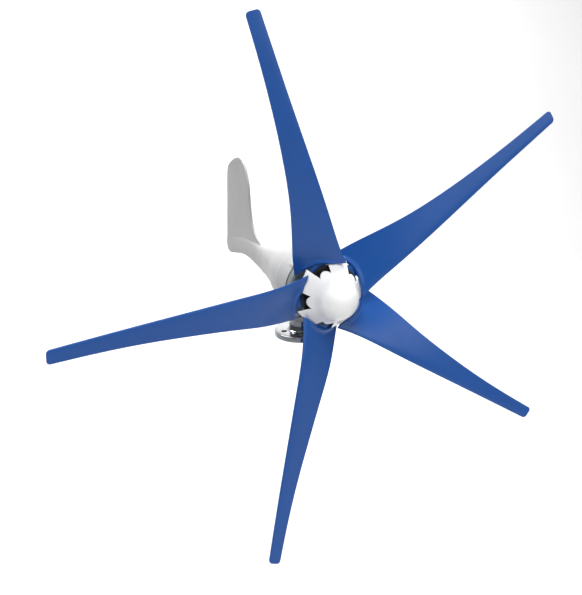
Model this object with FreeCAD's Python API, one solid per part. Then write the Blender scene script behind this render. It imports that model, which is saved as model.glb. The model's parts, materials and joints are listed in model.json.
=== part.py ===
import FreeCAD, Part
import math
import os
from FreeCAD import Vector as V

os.makedirs("parts", exist_ok=True)

# Small five-blade horizontal-axis wind turbine.
# Origin: centre of the lower face of the mounting flange, on the yaw axis.
# +Z up, rotor nose toward -Y, tail fin toward +Y.

# ------------------------------------------------------------ driving dimensions (mm)
AXIS_Z = 145.0          # height of the rotor axis over the flange's lower face
TIP_Y = -250.0          # plane of the blade tips
ROTOR_R = 600.0         # rotor tip radius
BLADE_COUNT = 5
BLADE_START = -13.2     # turn of the first blade from straight up, toward +X, degrees
PAD_TILT = -8.0         # root pad direction against the blade's own axis, degrees

FLANGE_R = 65.0
FLANGE_T = 13.0
FLANGE_PCD = 90.0
FLANGE_HOLE_R = 6.5
NECK_R = 29.0
NECK_TOP = 40.0
SPINDLE_R = 15.0
SPINDLE_TIP_R = 12.0
SPINDLE_TOP = 143.0
CABLE_BORE_R = 8.0

BARREL_R = 80.0
BARREL_FRONT = -99.5
BARREL_REAR = -25.0
CAVITY_R = 73.0
COVER_R = 79.0
COVER_SCREWS = 4
FIN_T = 7.0
BOOM_WALL = 5.0
COVER_FRONT = -128.0
COVER_REAR = -101.0

HUB_R = 58.0
CLAMP_R = 68.0
PAD_FRONT = -157.0
PAD_T = 10.0
HUB_T = 8.0
CLAMP_T = 5.0
BOLT_S = (34.0, 49.0)   # blade bolt positions along the pad
BOLT_R = 3.0

NOSE_APEX = -240.0
NOSE_T = 2.3

RUN = 0.05              # radial running clearance


# ------------------------------------------------------------ helpers
def cyl_y(r, y0, y1, x=0.0, z=AXIS_Z):
    return Part.makeCylinder(r, y1 - y0, V(x, y0, z), V(0, 1, 0))


def ring_y(ro, ri, y0, y1):
    return cyl_y(ro, y0, y1).cut(cyl_y(ri, y0 - 1, y1 + 1))


def cyl_z(r, z0, z1, x=0.0, y=0.0):
    return Part.makeCylinder(r, z1 - z0, V(x, y, z0), V(0, 0, 1))


def ring_z(ro, ri, z0, z1, x=0.0, y=0.0):
    return cyl_z(ro, z0, z1, x, y).cut(cyl_z(ri, z0 - 1, z1 + 1, x, y))


def box(x0, x1, y0, y1, z0, z1):
    return Part.makeBox(x1 - x0, y1 - y0, z1 - z0, V(x0, y0, z0))


def revolve_y(points, closed=True):
    """Solid of revolution about the rotor axis from (radius, y) points."""
    pts = [V(r, y, AXIS_Z) for r, y in points]
    pts.append(pts[0])
    face = Part.Face(Part.makePolygon(pts))
    return face.revolve(V(0, 0, AXIS_Z), V(0, 1, 0), 360)


def revolve_z(points):
    pts = [V(r, 0, z) for r, z in points]
    pts.append(pts[0])
    face = Part.Face(Part.makePolygon(pts))
    return face.revolve(V(0, 0, 0), V(0, 0, 1), 360)


def turned(shape, deg):
    """Copy turned about the rotor axis; positive goes from +Z toward +X."""
    s = shape.copy()
    s.rotate(V(0, 0, AXIS_Z), V(0, 1, 0), deg)
    return s


def turned_z(shape, deg):
    s = shape.copy()
    s.rotate(V(0, 0, 0), V(0, 0, 1), deg)
    return s


def clean(shape):
    s = shape.removeSplitter()
    return s if s.isValid() else shape


def save(name, *solids):
    out = []
    for s in solids:
        for k in s.Solids:
            out.append(k)
    for k in out:
        if not k.isValid() or k.Volume <= 0:
            print("BAD SOLID", name, k.isValid(), k.Volume)
    comp = out[0] if len(out) == 1 else Part.makeCompound(out)
    comp.exportStep(os.path.join("parts", name + ".step"))
    SAVED[name] = comp
    print(name, len(out), round(sum(k.Volume for k in out), 1))


SAVED = {}


def hex_prism_y(across, y0, y1, x, z):
    pts = []
    for i in range(7):
        a = math.radians(60 * i + 30)
        rr = across / 2.0 / math.cos(math.radians(30))
        pts.append(V(x + rr * math.cos(a), y0, z + rr * math.sin(a)))
    return Part.Face(Part.makePolygon(pts)).extrude(V(0, y1 - y0, 0))


# ------------------------------------------------------------ fixed side: flange and yaw spindle
def mount_flange():
    prof = [(CABLE_BORE_R, 0), (FLANGE_R - 1, 0), (FLANGE_R, 1), (FLANGE_R, FLANGE_T - 1), (FLANGE_R - 1, FLANGE_T)]
    for i in range(9):                       # concave fillet between flange and neck
        a = math.radians(90.0 * i / 8)
        prof.append((NECK_R + 8 - 8 * math.sin(a), FLANGE_T + 8 - 8 * math.cos(a)))
    prof += [(NECK_R, NECK_TOP - 1), (NECK_R - 1, NECK_TOP), (SPINDLE_R + 3.5, NECK_TOP), (SPINDLE_R + 3.5, NECK_TOP + 5),
             (SPINDLE_R, NECK_TOP + 5), (SPINDLE_R, NECK_TOP + 62),
             (SPINDLE_TIP_R, NECK_TOP + 62), (SPINDLE_TIP_R, SPINDLE_TOP), (CABLE_BORE_R, SPINDLE_TOP)]
    body = revolve_z(prof)
    for i in range(4):
        a = math.radians(90 * i)
        x, y = FLANGE_PCD / 2 * math.cos(a), FLANGE_PCD / 2 * math.sin(a)
        body = body.cut(cyl_z(FLANGE_HOLE_R, -1, FLANGE_T + 1, x, y))
    # groove for the retaining ring
    body = body.cut(ring_z(SPINDLE_R + 1, SPINDLE_R - 1.0, 98.2, 99.8))
    return body


save("mount_flange", mount_flange())

# ------------------------------------------------------------ ball bearings
def bearing(prefix, axis, ri, ro, a0, a1, n, ball_r, place=None):
    """Inner ring, outer ring, cage and balls about the local Z, then laid on the axis."""
    b = a1 - a0
    mid = (a0 + a1) / 2.0
    rp = (ri + ro) / 2.0
    land_i = rp - 0.55 * ball_r
    land_o = rp + 0.55 * ball_r
    g = ball_r + 0.3
    torus = Part.makeTorus(rp, g, V(0, 0, mid))
    inner = ring_z(land_i, ri, a0, a1).cut(torus)
    outer = ring_z(ro, land_o, a0, a1).cut(torus)
    cage = ring_z(rp + 1.1, rp - 1.1, mid - ball_r - 1.2, mid + ball_r + 1.2)
    balls = []
    for i in range(n):
        a = 2 * math.pi * i / n
        c = V(rp * math.cos(a), rp * math.sin(a), mid)
        balls.append(Part.makeSphere(ball_r, c))
        d = V(math.cos(a), math.sin(a), 0)
        pocket = Part.makeCylinder(ball_r + 0.02, 12, c - d * 6, d)
        cage = cage.cut(pocket)
    pieces = [inner, outer, cage] + balls
    if axis == "y":
        for s in pieces:
            s.rotate(V(0, 0, 0), V(1, 0, 0), -90)       # local Z to +Y
            s.translate(V(0, 0, AXIS_Z))
    save(prefix + "_inner_ring", pieces[0])
    save(prefix + "_outer_ring", pieces[1])
    cage_solids = pieces[2].Solids
    save(prefix + "_cage", *cage_solids)
    save(prefix + "_balls", *pieces[3:])


# shaft bearings on the rotor axis, yaw bearings on the spindle
FB = (-120.0, -106.0)     # front bearing, 20 x 47 x 14
RB = (-44.0, -32.0)       # rear bearing, 17 x 40 x 12
LY = (45.0, 58.0)         # lower yaw bearing, 30 x 55 x 13
UY = (85.0, 98.0)         # upper yaw bearing, 30 x 55 x 13
bearing("front_bearing", "y", 10.0, 23.5, FB[0], FB[1], 8, 3.9)
bearing("rear_bearing", "y", 8.5, 20.0, RB[0], RB[1], 8, 3.3)
bearing("lower_yaw_bearing", "z", 15.0, 27.5, LY[0], LY[1], 11, 3.5)
bearing("upper_yaw_bearing", "z", 15.0, 27.5, UY[0], UY[1], 11, 3.5)

save("yaw_spacer", ring_z(SPINDLE_R + 3.0, SPINDLE_R, LY[1], UY[0]))
ring = ring_z(SPINDLE_R + 2.5, SPINDLE_R - 1.0, 98.2, 99.7)
ring = ring.cut(box(-3, 3, 5, 30, 97, 101))
save("yaw_retaining_ring", ring)

# slip rings on their insulating sleeve
SLEEVE_R = 15.5
save("slip_ring_sleeve", ring_z(SLEEVE_R, SPINDLE_TIP_R, 102.0, SPINDLE_TOP))
slips = [ring_z(SLEEVE_R + 2.5, SLEEVE_R, z, z + 5.0) for z in (108.0, 118.0, 128.0)]
save("slip_rings", *slips)
bush = ring_z(CABLE_BORE_R, 4.5, 0.0, 10.0)
save("cable_bush", bush)


# ------------------------------------------------------------ housing with tail, one casting
def superellipse_wire(y, zc, hw, hh_up, hh_dn, p=2.2, n=24):
    pts = []
    for i in range(n):
        a = 2 * math.pi * i / n - math.pi / 2
        ca, sa = math.cos(a), math.sin(a)
        x = hw * math.copysign(abs(ca) ** (2.0 / p), ca)
        hh = hh_up if sa >= 0 else hh_dn
        z = hh * math.copysign(abs(sa) ** (2.0 / p), sa)
        pts.append(V(x, y, AXIS_Z + zc + z))
    c = Part.BSplineCurve()
    c.interpolate(pts, PeriodicFlag=True)
    return Part.Wire([c.toShape()])


# stations of the tail boom: y, centre z from the axis, half width, up, down
BOOM = [
    (-60, 0, 70, 72, 72),
    (-20, 0, 70, 72, 74),
    (20, -2, 64, 66, 72),
    (60, -5, 54, 58, 67),
    (105, -9, 41, 50, 56),
    (155, -13, 30, 44, 46),
    (210, -17, 20.5, 38, 36),
    (270, -20, 13.5, 36, 28),
    (330, -21, 9.0, 34, 22),
    (400, -25, 6.5, 33, 19),
    (470, -33, 5.0, 30, 20),
    (520, -39, 4.0, 26, 19),
]

# side outline of the fin: (y, z from the axis)
FIN = [
    (200, -30), (225, 10), (250, 20), (278, 29), (300, 44), (313, 62), (320, 85), (324, 110), (326, 135), (328, 160),
    (335, 182), (345, 202), (358, 216), (374, 226), (392, 229.5), (412, 228), (436, 222), (458, 214), (480, 203), (495, 190),
    (502, 172), (507, 145), (513, 105), (520, 65), (528, 20), (535, -20), (540, -45), (534, -58), (520, -64), (500, -63),
    (460, -55), (400, -43), (320, -38),
]


def fin_solid():
    pts = [V(0, y, AXIS_Z + z) for y, z in FIN]
    c = Part.BSplineCurve()
    c.interpolate(pts, PeriodicFlag=True)
    face = Part.Face(Part.Wire([c.toShape()]))
    slab = face.extrude(V(FIN_T, 0, 0))
    slab.translate(V(-FIN_T / 2, 0, 0))
    try:
        f = slab.makeFillet(FIN_T * 0.4, slab.Edges[:])
        if f.isValid() and f.Volume > 0:
            return f
    except Exception as e:
        print("fin fillet", e)
    return slab


def barrel_profile(r, y0, y1, edge):
    pts = [(0.0, y0), (r - 1.0, y0), (r, y0 + 1.0)]
    n = 8
    for i in range(n + 1):
        a = math.radians(90.0 * i / n)
        pts.append((r - edge + edge * math.cos(a), y1 - edge + edge * math.sin(a)))
    pts.append((0.0, y1))
    return pts


def arc_revolve_barrel():
    r, e = BARREL_R, 18.0
    y0, y1 = BARREL_FRONT, BARREL_REAR
    z = AXIS_Z
    p = [V(0, y0, z), V(r - 1, y0, z), V(r, y0 + 1, z), V(r, y1 - e, z), V(r - e, y1, z), V(0, y1, z)]
    c = e * math.sqrt(0.5)
    mid = V(r - e + c, y1 - e + c, z)
    edges = [Part.LineSegment(p[0], p[1]).toShape(), Part.LineSegment(p[1], p[2]).toShape(),
             Part.LineSegment(p[2], p[3]).toShape(), Part.Arc(p[3], mid, p[4]).toShape(),
             Part.LineSegment(p[4], p[5]).toShape(), Part.LineSegment(p[5], p[0]).toShape()]
    return Part.Face(Part.Wire(edges)).revolve(V(0, 0, z), V(0, 1, 0), 360)


def housing():
    barrel = arc_revolve_barrel()
    boom = Part.makeLoft([superellipse_wire(*s) for s in BOOM], True, False)
    fin = fin_solid()
    neck = Part.makeCone(37.0, 50.0, 60.0, V(0, 0, 43.0), V(0, 0, 1))
    body = barrel.fuse(boom)
    body = body.fuse(fin)
    body = body.fuse(neck)
    # boss ring round the neck mouth
    body = body.fuse(cyl_z(37.0, 41.0, 50.0))
    # screw lugs on the front rim
    for i in range(COVER_SCREWS):
        a = math.radians(360.0 / COVER_SCREWS * (i + 0.5))
        x, z = 76.4 * math.cos(a), AXIS_Z + 76.4 * math.sin(a)
        lug = cyl_y(6.0, BARREL_FRONT, BARREL_FRONT + 16, x, z)
        tip = Part.makeCone(6.0, 2.5, 8.0, V(x, BARREL_FRONT + 16, z), V(0, 1, 0))
        body = body.fuse(lug.fuse(tip))
    # hollow in the boom; the yaw tube, the bearing boss and the brush block stay
    rows = [(-36, 0, 65, 67, 67)]
    for y, zc, hw, up, dn in BOOM[1:8]:
        rows.append((y, zc, hw - BOOM_WALL, up - BOOM_WALL, dn - BOOM_WALL))
    core = Part.makeLoft([superellipse_wire(*q) for q in rows], True, False)
    core = core.cut(cyl_z(33.5, 30.0, 102.0))
    core = core.cut(box(-18, 18, 14, 64, 60, 147))
    core = core.cut(cyl_y(26.0, -60, -29))
    body = body.cut(core)
    # generator cavity, rear bearing seat and slip ring chamber
    body = body.cut(cyl_y(CAVITY_R, BARREL_FRONT - 1, -47.0))
    body = body.cut(cyl_y(20.0, -51.0, RB[1] + 0.8))
    body = body.cut(cyl_y(12.0, -33.0, -24.0))
    body = body.cut(cyl_z(27.5, 40.0, UY[1] + 0.0))
    body = body.cut(cyl_z(25.0, 97.0, 172.0))
    # slot in the web for the phase leads
    body = body.cut(box(-8, 8, -52, -10, AXIS_Z - 60 + 28, AXIS_Z - 21))
    # side pocket that holds the brush holder
    body = body.cut(box(-13, 13, 10, 44, 104.0, 138.0))
    # tapped holes for the cover screws, on the barrel's front rim
    for i in range(COVER_SCREWS):
        a = math.radians(360.0 / COVER_SCREWS * (i + 0.5))
        x, z = 76.4 * math.cos(a), AXIS_Z + 76.4 * math.sin(a)
        body = body.cut(cyl_y(1.6, BARREL_FRONT - 1, BARREL_FRONT + 14, x, z))
    return body


hs = housing()
save("housing_tail", hs)

# ------------------------------------------------------------ front cover, gasket, screws
def front_cover():
    r, e = COVER_R, 7.0
    y0, y1 = COVER_FRONT, COVER_REAR
    z = AXIS_Z
    c = e * (1 - math.sqrt(0.5))
    pts = [V(0, y0, z), V(30, y0, z), V(34, y0 + 4, z), V(r - e, y0 + 6, z), V(r, y0 + 6 + e, z), V(r, y1, z), V(0, y1, z)]
    mid = V(r - c, y0 + 6 + c, z)
    edges = [Part.LineSegment(pts[0], pts[1]).toShape(), Part.LineSegment(pts[1], pts[2]).toShape(),
             Part.LineSegment(pts[2], pts[3]).toShape(), Part.Arc(pts[3], mid, pts[4]).toShape(),
             Part.LineSegment(pts[4], pts[5]).toShape(), Part.LineSegment(pts[5], pts[6]).toShape(),
             Part.LineSegment(pts[6], pts[0]).toShape()]
    s = Part.Face(Part.Wire(edges)).revolve(V(0, 0, z), V(0, 1, 0), 360)
    s = s.cut(ring_y(CAVITY_R, 30.0, y0 + 11, y1 + 1))       # hollow behind the face
    s = s.cut(cyl_y(23.5, FB[0], y1 + 1))                    # bearing seat
    s = s.cut(cyl_y(16.0, y0 - 1, FB[0] + 0.5))              # seal seat
    for i in range(COVER_SCREWS):
        a = math.radians(360.0 / COVER_SCREWS * (i + 0.5))
        x, zz = 76.4 * math.cos(a), AXIS_Z + 76.4 * math.sin(a)
        s = s.cut(cyl_y(1.7, y0, y1 + 1, x, zz))
        s = s.cut(cyl_y(3.2, y0, y1 - 9.0, x, zz))
    return s


save("front_cover", front_cover())
gasket = ring_y(80.3, CAVITY_R + 0.5, COVER_REAR, BARREL_FRONT)
screws = []
for i in range(COVER_SCREWS):
    a = math.radians(360.0 / COVER_SCREWS * (i + 0.5))
    x, zz = 76.4 * math.cos(a), AXIS_Z + 76.4 * math.sin(a)
    gasket = gasket.cut(cyl_y(1.7, COVER_REAR - 1, BARREL_FRONT + 1, x, zz))
    head = cyl_y(2.75, COVER_REAR - 12.0, COVER_REAR - 9.0, x, zz)
    head = head.cut(hex_prism_y(2.5, COVER_REAR - 12.5, COVER_REAR - 10.6, x, zz))
    screws.append(head.fuse(cyl_y(1.6, COVER_REAR - 9.5, BARREL_FRONT + 12, x, zz)))
save("cover_gasket", gasket)
save("cover_screws", *screws)
save("shaft_seal", ring_y(16.0, 10.0 + RUN, COVER_FRONT + 1, FB[0]))
save("wave_washer", ring_y(19.0, 15.5, RB[1] - 0.0, RB[1] + 0.0 + 0.8).common(cyl_y(12.0 + 30, -33, -20)))
save("neck_seal", ring_z(27.5, SPINDLE_R + 3.5 + RUN, 41.5, 44.8))

# ------------------------------------------------------------ stator
def stator_core():
    s = ring_y(CAVITY_R, 62.0, -92.0, -56.0)
    teeth = []
    n = 18
    for i in range(n):
        t = box(-3.0, 3.0, -92.0, -56.0, AXIS_Z + 46.0, AXIS_Z + 63.0)
        t = t.fuse(box(-6.2, 6.2, -92.0, -56.0, AXIS_Z + 44.5, AXIS_Z + 47.5))
        teeth.append(turned(t, 360.0 * i / n))
    s = s.fuse(teeth)
    s = s.cut(cyl_y(45.0, -93, -55))
    return clean(s)


save("stator_core", stator_core())
coils = []
for i in range(18):
    c = box(-6.6, 6.6, -96.5, -51.5, AXIS_Z + 48.5, AXIS_Z + 59.5)
    c = c.cut(box(-3.3, 3.3, -92.3, -55.7, AXIS_Z + 48.0, AXIS_Z + 60.0))
    coils.append(turned(c, 360.0 * i / 18))
save("stator_coils", *coils)


def lead(x):
    p = [V(x, -51.5, AXIS_Z - 54), V(x, -49.3, AXIS_Z - 54), V(x, -49.3, AXIS_Z - 27), V(x, -22, AXIS_Z - 27)]
    out = None
    for a, b in zip(p[:-1], p[1:]):
        c = Part.makeCylinder(1.2, (b - a).Length, a, b - a)
        out = c if out is None else out.fuse(c)
    for b in p[1:-1]:
        out = out.fuse(Part.makeSphere(1.2, b))
    return out


save("phase_leads", lead(-4.5), lead(0.0), lead(4.5))

# ------------------------------------------------------------ brushes
holder = box(-12, 12, 26.0, 43.0, 105.0, 137.0)
brushes, springs = [], []
for z in (110.5, 120.5, 130.5):
    holder = holder.cut(box(-3.1, 3.1, 25.0, 40.0, z - 2.3, z + 2.3))
    b = box(-3.0, 3.0, 18.1, 31.0, z - 2.2, z + 2.2)
    b = b.cut(cyl_z(18.06, z - 3, z + 3))
    brushes.append(b)
    springs.append(ring_y(2.0, 1.3, 31.0, 40.0) if False else Part.makeCylinder(2.0, 9.0, V(0, 31.0, z), V(0, 1, 0)).cut(Part.makeCylinder(1.3, 11.0, V(0, 30.0, z), V(0, 1, 0))))
save("brush_holder", holder)
save("brushes", *brushes)
save("brush_springs", *springs)

# ------------------------------------------------------------ rotor shaft, magnets
def rotor_shaft():
    s = cyl_y(7.0, -178.0, -162.0)
    s = s.fuse(cyl_y(8.5, -162.0, -139.0))
    s = s.fuse(cyl_y(10.0, -139.0, FB[1]))
    s = s.fuse(cyl_y(12.0, FB[1], -49.0))
    s = s.fuse(cyl_y(8.5, -49.0, RB[1] + 1.0))
    s = s.cut(box(-2.5, 2.5, -156.9, -141.0, AXIS_Z + 6.0, AXIS_Z + 12.0))
    s = s.cut(box(-3.0, 3.0, -90.0, -60.0, AXIS_Z + 9.5, AXIS_Z + 16.0))
    return s


save("rotor_shaft", rotor_shaft())
save("hub_key", box(-2.5, 2.5, -156.9, -141.0, AXIS_Z + 6.0, AXIS_Z + 10.5))
save("rotor_key", box(-3.0, 3.0, -90.0, -60.0, AXIS_Z + 9.5, AXIS_Z + 14.5))
core = ring_y(38.0, 12.0, -92.0, -56.0).cut(box(-3.0, 3.0, -92.5, -55.5, AXIS_Z + 9.0, AXIS_Z + 14.5))
for i in range(6):
    a = math.radians(60 * i + 30)
    core = core.cut(cyl_y(5.5, -93, -55, 25 * math.cos(a), AXIS_Z + 25 * math.sin(a)))
save("magnet_core", core)
mags = []
shell = ring_y(44.0, 38.0, -92.0, -56.0)
for i in range(12):
    w = box(-9.2, 9.2, -93, -55, AXIS_Z + 36, AXIS_Z + 46)
    mags.append(turned(shell.common(w), 30.0 * i))
save("magnets", *mags)

# ------------------------------------------------------------ hub
def hub_plate():
    s = cyl_y(HUB_R, PAD_FRONT + PAD_T, PAD_FRONT + PAD_T + HUB_T)
    s = s.fuse(cyl_y(20.0, PAD_FRONT, PAD_FRONT + PAD_T + 1))
    s = s.cut(cyl_y(8.5, PAD_FRONT - 1, -130))
    s = s.cut(box(-2.5, 2.5, PAD_FRONT - 1, -130, AXIS_Z, AXIS_Z + 10.5))
    for k in range(BLADE_COUNT):
        for d in BOLT_S:
            a = math.radians(90 - (BLADE_START + PAD_TILT + 72 * k))
            s = s.cut(cyl_y(BOLT_R, PAD_FRONT, -130, d * math.cos(a), AXIS_Z + d * math.sin(a)))
    return s


save("hub_plate", hub_plate())


def clamp_plate():
    s = ring_y(CLAMP_R, 21.0, PAD_FRONT - CLAMP_T, PAD_FRONT)
    for k in range(BLADE_COUNT):
        for d in BOLT_S:
            a = math.radians(90 - (BLADE_START + PAD_TILT + 72 * k))
            s = s.cut(cyl_y(BOLT_R, -170, -150, d * math.cos(a), AXIS_Z + d * math.sin(a)))
        a = math.radians(90 - (BLADE_START + PAD_TILT + 72 * k + 36))
        s = s.cut(cyl_y(2.0, -170, -150, 54 * math.cos(a), AXIS_Z + 54 * math.sin(a)))
    return s


save("clamp_plate", clamp_plate())
bolts, washers, nuts, nscrews = [], [], [], []
for k in range(BLADE_COUNT):
    a = math.radians(90 - (BLADE_START + PAD_TILT + 72 * k))
    for d in BOLT_S:
        x, z = d * math.cos(a), AXIS_Z + d * math.sin(a)
        head = cyl_y(5.0, PAD_FRONT - CLAMP_T - 6.0, PAD_FRONT - CLAMP_T, x, z)
        head = head.cut(hex_prism_y(5.0, PAD_FRONT - CLAMP_T - 7.0, PAD_FRONT - CLAMP_T - 3.0, x, z))
        bolts.append(head.fuse(cyl_y(BOLT_R, PAD_FRONT - CLAMP_T - 2, -131.5, x, z)))
        y = PAD_FRONT + PAD_T + HUB_T
        washers.append(cyl_y(6.0, y, y + 1.2, x, z).cut(cyl_y(BOLT_R, y - 1, y + 3, x, z)))
        nuts.append(hex_prism_y(10.0, y + 1.2, y + 6.7, x, z).cut(cyl_y(BOLT_R, y, y + 9, x, z)))
    a = math.radians(90 - (BLADE_START + PAD_TILT + 72 * k + 36))
    x, z = 54 * math.cos(a), AXIS_Z + 54 * math.sin(a)
    nscrews.append(cyl_y(3.5, PAD_FRONT, PAD_FRONT + 2.6, x, z).fuse(cyl_y(2.0, PAD_FRONT - 13, PAD_FRONT + 1, x, z)))
save("blade_bolts", *bolts)
save("bolt_washers", *washers)
save("blade_nuts", *nuts)
save("nose_screws", *nscrews)
save("shaft_washer", ring_y(14.0, 8.6, PAD_FRONT - 2.0, PAD_FRONT))
nut = hex_prism_y(22.0, PAD_FRONT - 14.0, PAD_FRONT - 2.0, 0, AXIS_Z).cut(cyl_y(7.0, -180, -150))
nut = nut.cut(cyl_y(8.5, PAD_FRONT - 5.0, -150))
save("shaft_nut", nut)

# ------------------------------------------------------------ nose cone
# outer surface: radius and y measured from the tip plane
NOSE = [(0, 10), (9, 10.9), (18, 13.6), (27, 18.6), (34.6, 25.4), (40.4, 33), (44.5, 41), (47.2, 49), (50.2, 56), (54.6, 63.3), (60.2, 71.2), (68.7, 82), (80, 95)]


def nose_shell():
    outer = [V(r, TIP_Y + y, AXIS_Z) for r, y in NOSE]
    c = Part.BSplineCurve()
    c.interpolate(outer)
    ie = [V(r, TIP_Y + y + (NOSE_T if r < 20 else NOSE_T * 1.35), AXIS_Z) for r, y in NOSE]
    # inner surface is set in by the wall thickness along the normal
    inner = []
    m = 40
    p0, p1 = c.FirstParameter, c.LastParameter
    for i in range(m + 1):
        u = p0 + (p1 - p0) * i / m
        pt = c.value(u)
        t = c.tangent(u)[0]
        nrm = V(-t.y, t.x, 0)
        q = pt + nrm * NOSE_T
        if i == 0:
            q = V(0, pt.y + NOSE_T, AXIS_Z)
        inner.append(q)
    ci = Part.BSplineCurve()
    ci.interpolate(inner)
    e1 = c.toShape()
    e2 = ci.toShape()
    a0, a1 = outer[0], outer[-1]
    b0, b1 = inner[0], inner[-1]
    w = Part.Wire([e1, Part.LineSegment(a1, b1).toShape(), e2, Part.LineSegment(b0, a0).toShape()])
    return Part.Face(w).revolve(V(0, 0, AXIS_Z), V(0, 1, 0), 360)


def nose_outline():
    disc = cyl_y(47.5, -245, -140)
    for k in range(BLADE_COUNT):
        base = BLADE_START + PAD_TILT + 72 * k
        lobe = Part.makeCylinder(15.2, 105, V(0, -245, AXIS_Z + 47.3), V(0, 1, 0))
        disc = disc.fuse(turned(lobe, base))
        pts = [V(-18.5, -245, AXIS_Z + 30), V(-24.5, -245, AXIS_Z + 76.5), V(24.5, -245, AXIS_Z + 76.5), V(18.5, -245, AXIS_Z + 30)]
        pts.append(pts[0])
        petal = Part.Face(Part.makePolygon(pts)).extrude(V(0, 105, 0))
        disc = disc.fuse(turned(petal, base + 36))
    return disc


ns = nose_shell().common(nose_outline())
# room behind the middle of the wall, so that no post shows in front
behind = revolve_y([(0.0, TIP_Y + 11.2)] + [(r, TIP_Y + y + 1.1) for r, y in NOSE[1:]] + [(80.0, -125.0), (0.0, -125.0)])
for k in range(BLADE_COUNT):
    a = math.radians(90 - (BLADE_START + PAD_TILT + 72 * k + 36))
    x, z = 54 * math.cos(a), AXIS_Z + 54 * math.sin(a)
    post = cyl_y(4.2, TIP_Y + 50.0, PAD_FRONT - CLAMP_T, x, z).common(behind)
    ns = ns.fuse(post)
for k in range(BLADE_COUNT):
    a = math.radians(90 - (BLADE_START + PAD_TILT + 72 * k + 36))
    x, z = 54 * math.cos(a), AXIS_Z + 54 * math.sin(a)
    ns = ns.cut(cyl_y(2.0, PAD_FRONT - 13, -150, x, z))
save("nose_cone", ns)

# ------------------------------------------------------------ blades
# stations of the blade that points straight up: radius, leading and trailing edge across
# (+X is the leading side), and both edges' depth behind the tip plane, and thickness
STATIONS = [
    (46, 54.0, -57.5, 82.0, 122.0, 12.0),
    (84, 42.5, -58.5, 72.5, 108.8, 11.5),
    (144, 30.5, -57.0, 58.0, 83.5, 10.0),
    (216, 20.6, -51.5, 47.0, 61.0, 8.4),
    (312, 7.0, -48.2, 36.2, 42.2, 7.0),
    (432, -10.6, -50.2, 23.6, 25.6, 5.8),
    (540, -26.2, -57.6, 9.8, 10.6, 4.8),
    (600, -35.0, -63.4, 1.6, 2.0, 4.2),
]
# the root end edge seen from the front: (radius, across), from the leading corner to the trailing one
END_EDGE = [(66, 78), (59.5, 52), (59.5, 49.5), (62.0, 40), (65.0, 30), (68.0, 20), (71.5, 10), (74.0, 0), (75.5, -10), (75.0, -20), (72.5, -30), (68.0, -40), (63.0, -49), (60.0, -57), (59.0, -66)]


def section(r, ul, ut, yl, yt, t):
    """Cambered aerofoil: the front face is nearly flat, the rear face bulges."""
    L = V(ul, TIP_Y + yl, AXIS_Z + r)
    T = V(ut, TIP_Y + yt, AXIS_Z + r)
    ch = T - L
    c = ch.Length
    d = ch * (1.0 / c)
    nrm = V(d.y, -d.x, 0)
    if nrm.y < 0:
        nrm = nrm * -1
    te = max(0.9, 0.14 * t)
    up, lo = [], []
    xs = [0.0, 0.006, 0.02, 0.05, 0.1, 0.18, 0.3, 0.45, 0.6, 0.75, 0.88, 0.96, 1.0]
    for x in xs:
        th = t * (2.969 * math.sqrt(x) - 1.26 * x - 3.516 * x * x + 2.843 * x ** 3 - 1.036 * x ** 4) / 1.0
        th = th * 0.5 + te * 0.5 * x
        camber = 0.045 * c * (1 - (2 * x - 1) ** 2) * 0.5
        base = L + d * (x * c)
        up.append(base + nrm * (camber + th))
        lo.append(base + nrm * (camber - th))
    pts = list(reversed(up)) + lo[1:]
    cv = Part.BSplineCurve()
    cv.interpolate(pts)
    e2 = Part.LineSegment(pts[-1], pts[0]).toShape()
    return Part.Wire([cv.toShape(), e2])


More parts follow.
